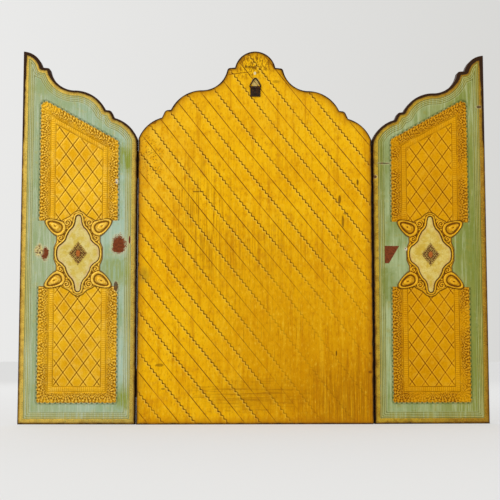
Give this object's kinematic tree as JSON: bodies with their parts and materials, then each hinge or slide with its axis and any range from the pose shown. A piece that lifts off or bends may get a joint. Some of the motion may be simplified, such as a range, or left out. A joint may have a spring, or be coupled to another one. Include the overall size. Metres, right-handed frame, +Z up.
{
  "type": "triptych altarpiece",
  "caption": "Folding triptych altarpiece of gilt and painted wood: a shaped centre board, hinged wings that close over it, and a ring hanger on its back.",
  "frame": {"origin": "middle of the centre board's underside, halfway through its thickness", "axes": "+Z up, +X towards the wing on the right as seen from the front, +Y out of the back that carries the ring hanger"},
  "size_m": [0.4438, 0.0204, 0.3545],
  "materials": {
    "ochre_gilding": "gesso and burnished ochre gilding, scored and worn, satin",
    "painted_gilding": "gesso with tooled gilding and blue-green paint, satin",
    "aged_brass": "tarnished",
    "dark_iron": "browned, dull"
  },
  "bodies": {
    "centre": {"centre_board": "ochre_gilding", "hanger_strap": "dark_iron", "hanger_nail": "dark_iron", "right_lower_hinge_centre_leaf": "aged_brass", "right_upper_hinge_centre_leaf": "aged_brass", "left_lower_hinge_centre_leaf": "aged_brass", "left_upper_hinge_centre_leaf": "aged_brass"},
    "ring": {"hanger_ring": "dark_iron"},
    "right_wing": {"right_wing": "painted_gilding", "right_lower_hinge_wing_leaf": "aged_brass", "right_lower_hinge_pin": "aged_brass", "right_upper_hinge_wing_leaf": "aged_brass", "right_upper_hinge_pin": "aged_brass"},
    "left_wing": {"left_wing": "painted_gilding", "left_lower_hinge_wing_leaf": "aged_brass", "left_lower_hinge_pin": "aged_brass", "left_upper_hinge_wing_leaf": "aged_brass", "left_upper_hinge_pin": "aged_brass"}
  },
  "joints": [
    {"name": "right_wing_hinge", "type": "hinge", "parent": "centre", "child": "right_wing", "pos_m": [0.11125, -0.00745, 0.177], "axis": [0, 0, -1], "range_deg": [-3, 177]},
    {"name": "left_wing_hinge", "type": "hinge", "parent": "centre", "child": "left_wing", "pos_m": [-0.11125, -0.00745, 0.177], "axis": [0, 0, 1], "range_deg": [-3, 177]},
    {"name": "ring_swing", "type": "hinge", "parent": "centre", "child": "ring", "pos_m": [0, 0.0074, 0.3188], "axis": [-1, 0, 0], "range_deg": [0, 145]}
  ]
}
